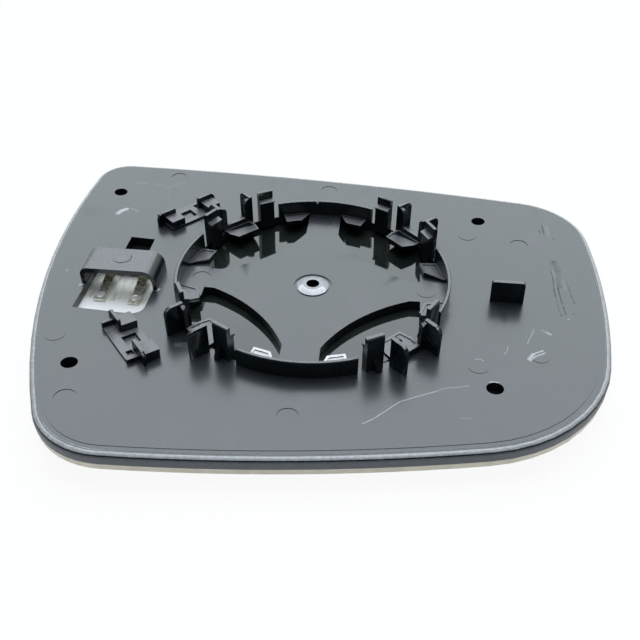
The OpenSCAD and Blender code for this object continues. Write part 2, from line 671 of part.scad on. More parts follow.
module tab() seat(tab_at, deck_h) rotate(-tab_turn) translate([-tab_w / 2, tab_t / 2, -1])
    rotate([90, 0, 0]) linear_extrude(tab_t) difference() {
        square([tab_w, tab_h + 1]);
        translate([tab_w, tab_h + 1]) rotate(90) corner(tab_corner_r);
        translate([0, tab_h + 1]) rotate(180) corner(tab_corner_r);
    }

module centre_boss() translate([0, 0, ring_z]) rotate_extrude() polygon([[centre_hole_d / 2, -plate_t / 2],
    [centre_hole_d / 2, boss_h], [boss_top_r, boss_h], [boss_r, 0], [boss_r, -plate_t / 2]]);

module backing_plate() color("#17191b") {
    difference() {
        plate_blank();
        at_ring() linear_extrude(tall) {
            star_openings();
            window();
            slot();
            holes();
            circle(d = centre_hole_d);
        }
        intersection() {
            ball(deck_h - ejector_depth);
            at_ring() for (m = marks) translate([m[0], m[1], 0]) cylinder(r = ejector_r * m[2], h = tall);
        }
        intersection() {
            ball(deck_h - groove_depth);
            at_ring() difference() {
                cylinder(r = boss_r + groove_w, h = tall);
                translate([0, 0, -1]) cylinder(r = boss_r - 0.5, h = tall + 2);
            }
        }
    }
    at_ring() {
        ring_walls();
        for (k = [0:3]) rotate(45 + 90 * k) bridge_group();
        for (k = [0:3]) rotate(90 * k) for (m = [0, 1]) mirror([0, m, 0]) rotate(arc_shelf_angle)
            arc_shelf();
        centre_boss();
        hood();
    }
    cable_clips();
    tab();
}

mirror_glass();
heater_film();
adhesive_sheet();
terminal_patch();
terminal_left();
terminal_right();
rivet_left();
rivet_right();
backing_plate();
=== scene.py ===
import math

import bmesh
import bpy
import numpy as np
from mathutils import Matrix, Vector


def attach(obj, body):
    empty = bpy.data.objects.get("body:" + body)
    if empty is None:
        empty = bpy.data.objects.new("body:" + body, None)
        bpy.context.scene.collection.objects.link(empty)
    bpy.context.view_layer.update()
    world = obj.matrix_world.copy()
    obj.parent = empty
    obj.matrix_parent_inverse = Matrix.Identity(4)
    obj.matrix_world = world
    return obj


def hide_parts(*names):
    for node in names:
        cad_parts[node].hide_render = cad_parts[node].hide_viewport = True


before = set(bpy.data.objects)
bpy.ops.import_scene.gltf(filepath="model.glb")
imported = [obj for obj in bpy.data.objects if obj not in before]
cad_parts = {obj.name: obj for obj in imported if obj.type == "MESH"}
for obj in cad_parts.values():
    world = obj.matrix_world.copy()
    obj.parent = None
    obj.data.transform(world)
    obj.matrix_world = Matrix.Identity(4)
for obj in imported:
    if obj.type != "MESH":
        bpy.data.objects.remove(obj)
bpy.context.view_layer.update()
print("frame loaded:", sorted(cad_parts))

# Places on the part, in metres. The ring's centre is the middle of the clip ring.
layout = {
    "ring": (-0.000915, 0.00499),
    "mirrorRadius": 1.25,
    "glassTop": 0.0022,
    "filmTop": 0.0026,
    "adhesiveTop": 0.0030,
    "patchTop": 0.0029,
    "deck": 0.0058,
}


# Millimetres from the ring's centre to metres in the part's frame
def fromRing(x, y):
    return layout["ring"][0] + x / 1000, layout["ring"][1] + y / 1000


# Camera at the photo's angle
cameraSettings = {
    "place": (0.02081, -0.18450, 0.14814),
    "azimuth": -5.803,
    "elevation": 39.423,
    "roll": 0.372,
    "lens": 41.11,
    "sensor": 36.0,
    "near": 0.005,
}


def addCamera(s):
    az, el, roll = (math.radians(s[k]) for k in ("azimuth", "elevation", "roll"))
    forward = Vector((math.sin(az) * math.cos(el), math.cos(az) * math.cos(el), -math.sin(el)))
    right = Vector((math.cos(az), -math.sin(az), 0))
    up = right.cross(forward)
    turnedRight = math.cos(roll) * right + math.sin(roll) * up
    turnedUp = -math.sin(roll) * right + math.cos(roll) * up
    data = bpy.data.cameras.new("photoCamera")
    data.lens = s["lens"]
    data.sensor_width = s["sensor"]
    data.clip_start = s["near"]
    camera = bpy.data.objects.new("photoCamera", data)
    bpy.context.scene.collection.objects.link(camera)
    camera.matrix_world = Matrix.Translation(s["place"]) @ Matrix(
        (turnedRight, turnedUp, -forward)).transposed().to_4x4()
    bpy.context.scene.camera = camera


addCamera(cameraSettings)
bpy.context.scene.view_settings.view_transform = "Standard"
print("camera placed")

# Soft studio light: a wide soft box behind and above the object, in a dim room.
# Each list holds heights over the horizon in degrees, with the brightness there.
lightSettings = {
    "softBox": [(0.0, 0.8), (10.0, 1.0), (28.0, 1.8), (36.0, 2.9), (44.0, 3.1),
                (56.0, 3.7), (68.0, 4.3), (78.0, 4.2), (90.0, 3.6)],
    "room": [(0.0, 0.25), (15.0, 0.12), (45.0, 0.14), (68.0, 0.6), (80.0, 2.6), (90.0, 3.6)],
    "curveTop": 10.0,               # brightness at the top of the curves
    "boxEdges": (0.45, 0.8),        # cosine of the turn off straight behind, outside and inside
    "low": (0.87, 0.98, 0.97),      # tint below the heights given next, and above them
    "high": (0.90, 0.96, 1.04),
    "tintHeights": (34, 40),
    "seen": 1.0,                    # white that the camera sees
}


def addWorld(s):
    world = bpy.data.worlds.new("studio")
    bpy.context.scene.world = world
    world.use_nodes = True
    tree = world.node_tree
    tree.nodes.clear()
    new = tree.nodes.new
    link = tree.links.new
    coords = new("ShaderNodeTexCoord")
    split = new("ShaderNodeSeparateXYZ")
    link(coords.outputs["Generated"], split.inputs[0])
    angle = new("ShaderNodeMath")
    angle.operation = "ARCSINE"
    link(split.outputs["Z"], angle.inputs[0])
    share = new("ShaderNodeMapRange")
    share.inputs["From Max"].default_value = math.pi / 2
    link(angle.outputs[0], share.inputs["Value"])
    curves = []
    for stops in (s["room"], s["softBox"]):
        curve = new("ShaderNodeFloatCurve")
        points = curve.mapping.curves[0].points
        while len(points) < len(stops):
            points.new(0.5, 0.5)
        for point, (degrees, value) in zip(points, stops):
            point.location = (degrees / 90.0, value / s["curveTop"])
            point.handle_type = "AUTO_CLAMPED"
        curve.mapping.update()
        link(share.outputs["Result"], curve.inputs["Value"])
        curves.append(curve)
    flat = new("ShaderNodeMath")    # length of the direction's flat part
    flat.operation = "COSINE"
    link(angle.outputs[0], flat.inputs[0])
    turn = new("ShaderNodeMath")
    turn.operation = "DIVIDE"
    link(split.outputs["Y"], turn.inputs[0])
    link(flat.outputs[0], turn.inputs[1])
    side = new("ShaderNodeMapRange")
    side.interpolation_type = "SMOOTHSTEP"
    side.inputs["From Min"].default_value, side.inputs["From Max"].default_value = s["boxEdges"]
    link(turn.outputs[0], side.inputs["Value"])
    mix = new("ShaderNodeMix")
    link(side.outputs["Result"], mix.inputs[0])
    link(curves[0].outputs["Value"], mix.inputs[2])
    link(curves[1].outputs["Value"], mix.inputs[3])
    strength = new("ShaderNodeMath")
    strength.operation = "MULTIPLY"
    strength.inputs[1].default_value = s["curveTop"]
    link(mix.outputs[0], strength.inputs[0])
    lowEnd, highEnd = s["tintHeights"]
    height = new("ShaderNodeMapRange")
    height.inputs["From Min"].default_value = math.radians(lowEnd)
    height.inputs["From Max"].default_value = math.radians(highEnd)
    link(angle.outputs[0], height.inputs["Value"])
    tint = new("ShaderNodeMix")
    tint.data_type = "RGBA"
    tint.inputs[6].default_value = (*s["low"], 1)
    tint.inputs[7].default_value = (*s["high"], 1)
    link(height.outputs["Result"], tint.inputs[0])
    lit = new("ShaderNodeBackground")
    link(tint.outputs[2], lit.inputs["Color"])
    link(strength.outputs[0], lit.inputs["Strength"])
    seen = new("ShaderNodeBackground")
    seen.inputs["Color"].default_value = (1, 1, 1, 1)
    seen.inputs["Strength"].default_value = s["seen"]
    path = new("ShaderNodeLightPath")
    both = new("ShaderNodeMixShader")
    link(path.outputs["Is Camera Ray"], both.inputs[0])
    link(lit.outputs[0], both.inputs[1])
    link(seen.outputs[0], both.inputs[2])
    out = new("ShaderNodeOutputWorld")
    link(both.outputs[0], out.inputs["Surface"])


addWorld(lightSettings)


# Small helpers for materials
def newMaterial(name):
    material = bpy.data.materials.new(name)
    material.use_nodes = True
    tree = material.node_tree
    shader = tree.nodes["Principled BSDF"]
    coords = tree.nodes.new("ShaderNodeTexCoord")
    return material, tree, shader, coords.outputs["Object"]


def addNoise(tree, coords, scale, detail=2.0, roughness=0.5):
    noise = tree.nodes.new("ShaderNodeTexNoise")
    noise.inputs["Scale"].default_value = scale
    noise.inputs["Detail"].default_value = detail
    noise.inputs["Roughness"].default_value = roughness
    tree.links.new(coords, noise.inputs["Vector"])
    return noise.outputs["Fac"]


def addRange(tree, value, low, high, toLow, toHigh):
    node = tree.nodes.new("ShaderNodeMapRange")
    node.inputs["From Min"].default_value = low
    node.inputs["From Max"].default_value = high
    node.inputs["To Min"].default_value = toLow
    node.inputs["To Max"].default_value = toHigh
    tree.links.new(value, node.inputs["Value"])
    return node.outputs["Result"]


def addMath(tree, operation, a, b):
    node = tree.nodes.new("ShaderNodeMath")
    node.operation = operation
    for k, v in enumerate((a, b)):
        if isinstance(v, (int, float)):
            node.inputs[k].default_value = v
        else:
            tree.links.new(v, node.inputs[k])
    return node.outputs[0]


def addMix(tree, factor, a, b):
    node = tree.nodes.new("ShaderNodeMix")
    node.data_type = "RGBA"
    tree.links.new(factor, node.inputs[0])
    for k, v in ((6, a), (7, b)):
        if isinstance(v, tuple):
            node.inputs[k].default_value = (*v, 1)
        else:
            tree.links.new(v, node.inputs[k])
    return node.outputs[2]


def addColour(tree, shader, factor, a, b):
    tree.links.new(addMix(tree, factor, a, b), shader.inputs["Base Color"])


# Roughness that follows the middle of a noise's range
def addRoughness(tree, shader, noise, low, high):
    tree.links.new(addRange(tree, noise, 0.3, 0.7, low, high), shader.inputs["Roughness"])


def addBump(tree, shader, height, strength, distance):
    node = tree.nodes.new("ShaderNodeBump")
    node.inputs["Strength"].default_value = strength
    node.inputs["Distance"].default_value = distance
    tree.links.new(height, node.inputs["Height"])
    tree.links.new(node.outputs["Normal"], shader.inputs["Normal"])


# Fine unevenness of a moulded surface, and of a grained one
mouldGrain = {"scale": 700.0, "strength": 0.1, "distance": 0.00002}
coarseGrain = {"scale": 1600.0, "strength": 0.2, "distance": 0.00003}


def addGrain(tree, shader, coords, s):
    addBump(tree, shader, addNoise(tree, coords, s["scale"]), s["strength"], s["distance"])


# Mask of a thin line from Start to End, seen from above
def makeScratchGroup():
    group = bpy.data.node_groups.new("scratchLine", "ShaderNodeTree")
    for name in ("Vector", "Start", "End"):
        group.interface.new_socket(name, in_out="INPUT", socket_type="NodeSocketVector")
    for name in ("Width", "Strength"):
        group.interface.new_socket(name, in_out="INPUT", socket_type="NodeSocketFloat")
    group.interface.new_socket("Mask", in_out="OUTPUT", socket_type="NodeSocketFloat")
    nodes, link = group.nodes, group.links.new
    inp, out = nodes.new("NodeGroupInput"), nodes.new("NodeGroupOutput")

    def vector(operation, a, b=None, scale=None):
        node = nodes.new("ShaderNodeVectorMath")
        node.operation = operation
        link(a, node.inputs[0])
        if b is not None:
            if isinstance(b, tuple):
                node.inputs[1].default_value = b
            else:
                link(b, node.inputs[1])
        if scale is not None:
            link(scale, node.inputs["Scale"])
        return node.outputs["Value" if operation in ("DOT_PRODUCT", "LENGTH") else "Vector"]

    flat = vector("MULTIPLY", inp.outputs["Vector"], (1, 1, 0))
    away = vector("SUBTRACT", flat, inp.outputs["Start"])
    span = vector("SUBTRACT", inp.outputs["End"], inp.outputs["Start"])
    along = vector("DOT_PRODUCT", away, span)
    whole = vector("DOT_PRODUCT", span, span)
    share = nodes.new("ShaderNodeMath")
    share.operation = "DIVIDE"
    share.use_clamp = True
    link(along, share.inputs[0])
    link(whole, share.inputs[1])
    nearest = vector("SCALE", span, scale=share.outputs[0])
    distance = vector("LENGTH", vector("SUBTRACT", away, nearest))
    mask = nodes.new("ShaderNodeMapRange")
    mask.interpolation_type = "SMOOTHSTEP"
    link(distance, mask.inputs["Value"])
    mask.inputs["From Min"].default_value = 0.0
    link(inp.outputs["Width"], mask.inputs["From Max"])
    link(inp.outputs["Strength"], mask.inputs["To Min"])
    mask.inputs["To Max"].default_value = 0.0
    link(mask.outputs["Result"], out.inputs["Mask"])
    return group


scratchGroup = makeScratchGroup()


# Strongest of several lines. Each has points in mm from the ring's centre, a width in mm
# and a strength.
def addScratches(tree, coords, lines):
    total = None
    for points, width, strength in lines:
        for start, end in zip(points, points[1:]):
            node = tree.nodes.new("ShaderNodeGroup")
            node.node_tree = scratchGroup
            tree.links.new(coords, node.inputs["Vector"])
            node.inputs["Start"].default_value = (*fromRing(*start), 0)
            node.inputs["End"].default_value = (*fromRing(*end), 0)
            node.inputs["Width"].default_value = width / 1000
            node.inputs["Strength"].default_value = strength
            mask = node.outputs["Mask"]
            total = mask if total is None else addMath(tree, "MAXIMUM", total, mask)
    return total


# Glossy black moulding of the walls and cut edges
wallLook = {
    "colour": (0.003, 0.008, 0.012),
    "paler": 1.8,
    "waveScale": 200.0,
    "waveRange": (0.45, 0.75),
    "roughness": (0.21, 0.3),
    "ior": 1.6,
}


def makeWallMaterial(s):
    material, tree, shader, coords = newMaterial("blackMoulding")
    wave = addNoise(tree, coords, s["waveScale"], 3.0)
    addColour(tree, shader, addRange(tree, wave, *s["waveRange"], 0.0, 1.0), s["colour"],
              tuple(c * s["paler"] for c in s["colour"]))
    addRoughness(tree, shader, wave, *s["roughness"])
    shader.inputs["IOR"].default_value = s["ior"]
    addGrain(tree, shader, coords, mouldGrain)
    return material


# Its broad back, slightly dusty. Scratches and rubbed places lie where they were worn in; one pale
# stroke is a painted highlight.
# The deck renders black with more strokes than these.
plateLook = {
    "colour": (0.026, 0.031, 0.035),
    "dust": (0.10, 0.105, 0.11),
    "shade": (0.008, 0.009, 0.011),
    "scratchAndHighlightColour": (0.55, 0.57, 0.58),
    "roughness": (0.265, 0.28),
    "ior": 1.68,
    "waveScale": 60.0,
    "speckScale": 1400.0,
    "speckRange": (0.68, 0.78),
    "patchScale": 45.0,
    "patchRange": (0.3, 0.8),
    "patchDust": 0.25,
    "mottleScale": 900.0,
    "mottleRange": (0.4, 0.62),
    "mottleLeast": 0.2,
    "rubbedShare": 0.35,
    "lightRoughness": 0.3,
    "darkRoughness": 0.75,
    "scratchesAndHighlight": [
        ([(19.7, -59.8), (22.5, -57.7), (29.3, -50.5), (34.1, -48.0), (38.7, -45.8)], 0.22, 0.8),
        ([(38.7, -45.8), (41.7, -44.1), (45.9, -43.3), (47.9, -42.7)], 0.3, 0.35),
        ([(50.4, -31.6), (51.6, -31.2), (52.6, -32.0)], 0.25, 0.6),
        ([(60.1, -25.0), (59.7, -27.0), (58.7, -28.6)], 0.2, 0.5),
        ([(68.4, -17.0), (66.7, -21.2), (65.8, -23.4)], 0.2, 0.55),
        ([(70.6, -17.0), (71.9, -18.2)], 0.35, 0.35),
        ([(71.9, -18.2), (73.0, -19.0)], 0.6, 0.55),
        ([(65.5, -30.4), (66.9, -28.2)], 0.9, 0.8),
        ([(66.9, -28.2), (69.8, -26.5)], 0.5, 0.8),
        ([(65.7, -31.1), (67.1, -29.5), (70.2, -27.6)], 0.35, 0.9),
        ([(44.6, -55.4), (47.9, -55.4)], 0.2, 0.25),
        ([(-75.0, 32.1), (-74.2, 34.0), (-72.8, 35.3)], 1.35, 1.0),
        ([(-71.1, 36.0), (-68.1, 34.6)], 0.3, 0.45),
        ([(-80.6, -4.0), (-80.3, -4.3)], 0.3, 0.8),
        ([(-73.6, -10.8), (-73.0, -10.6)], 0.9, 1.0),
        ([(-49.1, -9.3), (-48.7, -8.8)], 0.9, 1.0),
        # Painted highlight, not wear: the pale crescent on the far edge of a hole
        ([(55.8, -40.8), (53.8, -40.8)], 0.45, 0.8),
    ],
    "rubbed": [
        ([(-74.0, 53.7), (-71.0, 53.6)], 1.6, 0.3),
        ([(-67.2, 54.2), (-64.6, 53.5)], 1.4, 0.25),
        ([(-62.5, 52.3), (-59.5, 54.5), (-56.6, 57.3)], 1.2, 0.25),
        ([(-61.2, 50.9), (-59.3, 44.7)], 0.9, 0.15),
        ([(-35.8, -34.2), (-34.0, -34.0)], 1.8, 0.5),
    ],
    "scraped": [                    # long dark strokes down the right-hand side
        ([(77.6, 40.5), (77.7, 37.9), (77.7, 34.8)], 0.45, 0.8),
        ([(76.3, 37.9), (76.5, 35.8)], 0.4, 0.6),
        ([(77.3, 16.6), (77.5, 9.6), (76.9, 2.5), (77.0, -1.8), (77.1, -7.3), (77.3, -10.2)],
         0.35, 0.75),
        ([(78.8, 9.7), (78.3, 3.4), (78.4, -2.6), (78.8, -9.7)], 0.35, 0.8),
        ([(81.4, 7.9), (81.7, 4.4), (81.8, 0.4), (82.2, -3.8)], 0.5, 0.4),
        ([(81.0, -8.9), (81.2, -9.1)], 0.4, 0.7),
        ([(78.8, 18.5), (79.6, 13.3)], 1.7, 0.55),
        ([(79.4, 13.3), (79.2, 5.0)], 1.1, 0.4),
        ([(79.6, 36.5), (81.0, 31.0)], 0.4, 0.4),
    ],
    "scrapedLight": [
        ([(77.8, 14.7), (78.0, 8.7)], 0.25, 0.2),
        ([(80.4, 8.8), (80.5, 3.5)], 0.5, 0.12),
        ([(79.1, -11.6), (79.4, -11.8)], 0.35, 0.6),
        ([(79.0, 39.5), (79.4, 34.0)], 0.9, 0.12),
    ],
}


def makeBackMaterial(s):
    material, tree, shader, coords = newMaterial("dustyBack")
    wave = addNoise(tree, coords, s["waveScale"], 3.0)
    specks = addNoise(tree, coords, s["speckScale"], 2.0, 0.7)
    specks = addRange(tree, specks, *s["speckRange"], 0.0, 1.0)
    patches = addNoise(tree, coords, s["patchScale"])
    patches = addRange(tree, patches, *s["patchRange"], 0.0, s["patchDust"])
    dust = addMath(tree, "MULTIPLY", specks, patches)
    light = addScratches(tree, coords, s["scratchesAndHighlight"] + s["scrapedLight"])
    mottle = addNoise(tree, coords, s["mottleScale"])
    mottle = addRange(tree, mottle, *s["mottleRange"], s["mottleLeast"], 1.0)
    rubbed = addMath(tree, "MULTIPLY", addScratches(tree, coords, s["rubbed"]), mottle)
    dark = addMath(tree, "MULTIPLY", addScratches(tree, coords, s["scraped"]), mottle)
    rubbed = addMath(tree, "MULTIPLY", rubbed, s["rubbedShare"])
    light = addMath(tree, "MAXIMUM", light, rubbed)
    colour = addMix(tree, dust, s["colour"], s["dust"])
    colour = addMix(tree, dark, colour, s["shade"])
    colour = addMix(tree, light, colour, s["scratchAndHighlightColour"])
    tree.links.new(colour, shader.inputs["Base Color"])
    rough = addRange(tree, wave, 0.3, 0.7, *s["roughness"])
    worn = addMath(tree, "MAXIMUM", addMath(tree, "MULTIPLY", light, s["lightRoughness"]),
                   addMath(tree, "MULTIPLY", dark, s["darkRoughness"]))
    tree.links.new(addMath(tree, "ADD", rough, worn), shader.inputs["Roughness"])
    shader.inputs["IOR"].default_value = s["ior"]
    addGrain(tree, shader, coords, mouldGrain)
    return material


# Tops of the ribs, clips and hood, with a fine grain and a painted sheen: paler than the walls,
# standing in for the light that falls on them
topSheenLook = {"colour": (0.095, 0.097, 0.104), "pale": (0.15, 0.152, 0.16),
           "roughness": 0.36, "ior": 1.66, "scale": 1500.0}
# The fine radius along every upper edge, with a painted highlight: a pale colour standing in for
# the light it catches
edgeHighlightLook = {"colour": (0.32, 0.33, 0.34), "pale": (0.45, 0.46, 0.47),
            "roughness": 0.3, "ior": 1.6, "scale": 900.0}
# Satin outer face of the rim
rimLook = {"colour": (0.085, 0.094, 0.112), "pale": (0.11, 0.12, 0.135),
           "roughness": 0.4, "ior": 1.5, "scale": 400.0}
# The inner step of the rim, and the front of the centre cone, painted near white as a highlight
stepHighlightLook = {"colour": (0.72, 0.74, 0.77), "pale": (0.86, 0.88, 0.9),
            "roughness": 0.3, "ior": 1.6, "scale": 900.0}
# The tops of the two front shelves, painted pale as a reflection of the light
shelfHighlightLook = {"colour": (0.72, 0.73, 0.72), "pale": (0.92, 0.92, 0.91),
             "roughness": 0.4, "ior": 1.5, "scale": 500.0}
# What these surfaces share
grainSettings = {"cloudRange": (0.4, 0.66), "smoother": 0.04, "rougher": 0.08}


def makeGrained(name, s):
    material, tree, shader, coords = newMaterial(name)
    cloud = addNoise(tree, coords, s["scale"], 3.0, 0.6)
    share = addRange(tree, cloud, *grainSettings["cloudRange"], 0.0, 1.0)
    addColour(tree, shader, share, s["colour"], s["pale"])
    addRoughness(tree, shader, cloud, s["roughness"] - grainSettings["smoother"],
                 s["roughness"] + grainSettings["rougher"])
    shader.inputs["IOR"].default_value = s["ior"]
    addGrain(tree, shader, coords, coarseGrain)
    return material


# Fine darker, duller line round each ejector mark
markLineLook = {"colour": (0.04, 0.045, 0.05), "pale": (0.11, 0.115, 0.12), "roughness": 0.6,
            "specular": 0.15, "scale": 900.0, "toneRange": (0.4, 0.65)}


def makeMarkLine(s):
    material, tree, shader, coords = newMaterial("darkMarkOutline")
    tone = addRange(tree, addNoise(tree, coords, s["scale"], 3.0), *s["toneRange"], 0.0, 1.0)
    addColour(tree, shader, tone, s["colour"], s["pale"])
    shader.inputs["Roughness"].default_value = s["roughness"]
    shader.inputs["Specular IOR Level"].default_value = s["specular"]
    return material


# Back of the heater film: smooth and mirror-like, slightly green
filmLook = {
    "colour": (0.009, 0.013, 0.013),
    "dust": (0.028, 0.031, 0.027),
    "cloudScale": 90.0,
    "cloudRange": (0.4, 0.7),
    "cloudMost": 0.6,
    "roughness": (0.045, 0.075),
    "ior": 1.6,
}


def makeFilmMaterial(s):
    material, tree, shader, coords = newMaterial("shinyFilm")
    cloud = addNoise(tree, coords, s["cloudScale"], 3.0, 0.5)
    cloud = addRange(tree, cloud, *s["cloudRange"], 0.0, s["cloudMost"])
    addColour(tree, shader, cloud, s["colour"], s["dust"])
    tree.links.new(addRange(tree, cloud, 0.0, 1.0, *s["roughness"]), shader.inputs["Roughness"])
    shader.inputs["IOR"].default_value = s["ior"]
    return material


# Ground edge of the glass, its silvered front face and its coated back
glassLook = {
    "edge": (0.97, 0.88, 0.72),
    "streak": (0.8, 0.72, 0.58),
    "streakScale": 260.0,
    "streakRange": (0.42, 0.7),
    "streakMost": 0.6,
    "edgeRoughness": (0.35, 0.5),
    "silver": (0.86, 0.88, 0.88),
    "haze": (0.75, 0.78, 0.8),
    "hazeScale": 25.0,
    "hazeRange": (0.4, 0.7),
    "hazeMost": 0.12,
    "silverRoughness": (0.015, 0.04),
    "back": (0.05, 0.05, 0.045),
    "backPale": (0.08, 0.08, 0.07),
    "backScale": 90.0,
    "backRoughness": 0.4,
    "flat": 0.97,                   # least upright part of the normal on either face
}


def makeGlassEdge(s):
    material, tree, shader, coords = newMaterial("groundGlassEdge")
    streaks = addNoise(tree, coords, s["streakScale"], 3.0)
    share = addRange(tree, streaks, *s["streakRange"], 0.0, s["streakMost"])
    addColour(tree, shader, share, s["edge"], s["streak"])
    addRoughness(tree, shader, streaks, *s["edgeRoughness"])
    return material


def makeSilver(s):
    material, tree, shader, coords = newMaterial("silveredGlass")
    haze = addNoise(tree, coords, s["hazeScale"])
    share = addRange(tree, haze, *s["hazeRange"], 0.0, s["hazeMost"])
    addColour(tree, shader, share, s["silver"], s["haze"])
    shader.inputs["Metallic"].default_value = 1.0
    addRoughness(tree, shader, haze, *s["silverRoughness"])
    return material


def makeBackCoat(s):
    material, tree, shader, coords = newMaterial("backCoat")
    addColour(tree, shader, addNoise(tree, coords, s["backScale"], 3.0), s["back"], s["backPale"])
    shader.inputs["Roughness"].default_value = s["backRoughness"]
    return material


# Adhesive sheet, terminal patch and tinned terminals
adhesiveLook = {"colour": (0.34, 0.34, 0.33), "dark": (0.26, 0.26, 0.25),
                "scale": 400.0, "roughness": 0.6}
patchLook = {
    "white": (0.93, 0.93, 0.92),
    "silver": (0.95, 0.95, 0.88),
    "streak": (0.5, 0.49, 0.42),
    "seamY": -13.0,                 # mm from the ring's centre
    "seamWidth": 0.0004,
    "rippleScale": 500.0,
    "ripple": 0.0012,
    "stretch": (1.0, 0.25, 1.0),
    "streakScale": 700.0,
    "streakRange": (0.5, 0.66),
    "streakMost": 0.6,
    "roughness": (0.55, 0.32),      # in front of the seam and behind it
    "metallic": 0.1,
    "bump": (0.2, 0.0001),
}
metalLook = {
    "tin": (0.78, 0.76, 0.66),
    "tarnish": (0.1, 0.09, 0.03),
    "rivet": (0.95, 0.95, 0.92),
    "scale": 900.0,
    "darkerFromY": -8.4,               # mm from the ring's centre
    "darkerReach": 0.004,
    "darkerSpan": (-0.25, 0.75),
    "blotchRange": (0.4, 0.62),
    "blotchMost": 0.8,
    "shareRange": (0.2, 1.0),
    "bladeMetallic": 0.7,
    "bladeRoughness": (0.25, 0.45),
    "rivetRange": (0.5, 0.7),
    "rivetMost": 0.5,
    "rivetMetallic": 0.5,
    "rivetRoughness": (0.22, 0.36),
}


def makeAdhesive(s):
    material, tree, shader, coords = newMaterial("adhesive")
    addColour(tree, shader, addNoise(tree, coords, s["scale"], 3.0), s["colour"], s["dark"])
    shader.inputs["Roughness"].default_value = s["roughness"]
    return material


def makePatch(s):
    material, tree, shader, coords = newMaterial("terminalPatch")
    split = tree.nodes.new("ShaderNodeSeparateXYZ")
    tree.links.new(coords, split.inputs[0])
    seam = fromRing(0, s["seamY"])[1]
    ripple = addMath(tree, "MULTIPLY", addNoise(tree, coords, s["rippleScale"]), s["ripple"])
    behind = addMath(tree, "ADD", split.outputs["Y"], ripple)
    behind = addRange(tree, behind, seam, seam + s["seamWidth"], 0.0, 1.0)
    stretch = tree.nodes.new("ShaderNodeMapping")
    stretch.inputs["Scale"].default_value = s["stretch"]
    tree.links.new(coords, stretch.inputs["Vector"])
    streaks = addNoise(tree, stretch.outputs["Vector"], s["streakScale"], 4.0, 0.6)
    share = addRange(tree, streaks, *s["streakRange"], 0.0, s["streakMost"])
    silver = addMix(tree, share, s["silver"], s["streak"])
    addColour(tree, shader, behind, s["white"], silver)
    tree.links.new(addRange(tree, behind, 0.0, 1.0, *s["roughness"]), shader.inputs["Roughness"])
    tree.links.new(addMath(tree, "MULTIPLY", behind, s["metallic"]), shader.inputs["Metallic"])
    addBump(tree, shader, streaks, *s["bump"])
    return material


# Tinned brass, darker and browner towards the back of the blade, with brown blotches
def makeTerminalMetal(s):
    material, tree, shader, coords = newMaterial("tinnedBrass")
    split = tree.nodes.new("ShaderNodeSeparateXYZ")
    tree.links.new(coords, split.inputs[0])
    blotch = addNoise(tree, coords, s["scale"], 3.0, 0.6)
    start = fromRing(0, s["darkerFromY"])[1]
    back = addRange(tree, split.outputs["Y"], start, start + s["darkerReach"], *s["darkerSpan"])
    stained = addRange(tree, blotch, *s["blotchRange"], 0.0, s["blotchMost"])
    share = addMath(tree, "ADD", back, stained)
    share = addRange(tree, share, *s["shareRange"], 0.0, 1.0)
    addColour(tree, shader, share, s["tin"], s["tarnish"])
    shader.inputs["Metallic"].default_value = s["bladeMetallic"]
    addRoughness(tree, shader, blotch, *s["bladeRoughness"])
    return material


def makeRivetMetal(s):
    material, tree, shader, coords = newMaterial("rivetMetal")
    tarnish = addNoise(tree, coords, s["scale"], 3.0)
    share = addRange(tree, tarnish, *s["rivetRange"], 0.0, s["rivetMost"])
    addColour(tree, shader, share, s["rivet"], s["tin"])
    shader.inputs["Metallic"].default_value = s["rivetMetallic"]
    addRoughness(tree, shader, tarnish, *s["rivetRoughness"])
    return material


# Pale floor. It looks nearly white to the camera and in reflections, and keeps the shadow.
floorSettings = {
    "size": 3.0,
    "drop": 0.00005,
    "colour": (0.9, 0.9, 0.9),
    "faintShare": 0.99,
    "faintScale": 3.0,
    "roughness": 0.9,
    "specular": 0.1,
    "whiteness": 0.9,
    "white": 1.0,
}


def addFloor(s):
    bpy.ops.object.select_all(action="DESELECT")
    bpy.ops.mesh.primitive_plane_add(size=s["size"], location=(0, 0, -s["drop"]))
    floor = bpy.context.object
    floor.name = "floor"
    material, tree, shader, coords = newMaterial("paleFloor")
    faint = addNoise(tree, coords, s["faintScale"])
    addColour(tree, shader, faint, s["colour"], tuple(c * s["faintShare"] for c in s["colour"]))
    shader.inputs["Roughness"].default_value = s["roughness"]
    shader.inputs["Specular IOR Level"].default_value = s["specular"]
    white = tree.nodes.new("ShaderNodeEmission")
    white.inputs["Strength"].default_value = s["white"]
    path = tree.nodes.new("ShaderNodeLightPath")
    both = tree.nodes.new("ShaderNodeMixShader")
    seen = path.outputs["Is Camera Ray"]
    for kind in ("Is Glossy Ray", "Is Transmission Ray"):
        seen = addMath(tree, "MAXIMUM", seen, path.outputs[kind])
    tree.links.new(addMath(tree, "MULTIPLY", seen, s["whiteness"]), both.inputs[0])
    tree.links.new(shader.outputs[0], both.inputs[1])
    tree.links.new(white.outputs[0], both.inputs[2])
    tree.links.new(both.outputs[0], tree.nodes["Material Output"].inputs["Surface"])
    floor.data.materials.append(material)


addFloor(floorSettings)
print("studio ready")


def selectOnly(piece):
    bpy.ops.object.select_all(action="DESELECT")
    piece.select_set(True)
    bpy.context.view_layer.objects.active = piece


# How the copies of the CAD meshes are joined, rounded and shaded
meshSettings = {
    "merge": 0.000002,
    "bevelAngle": 40.0,
    "bevelSegments": 2,
    "flatsWeight": 100,
    "onSphere": 0.9985,             # least part of a normal towards or away from the centre
    "sphereTolerance": 0.0002,
}


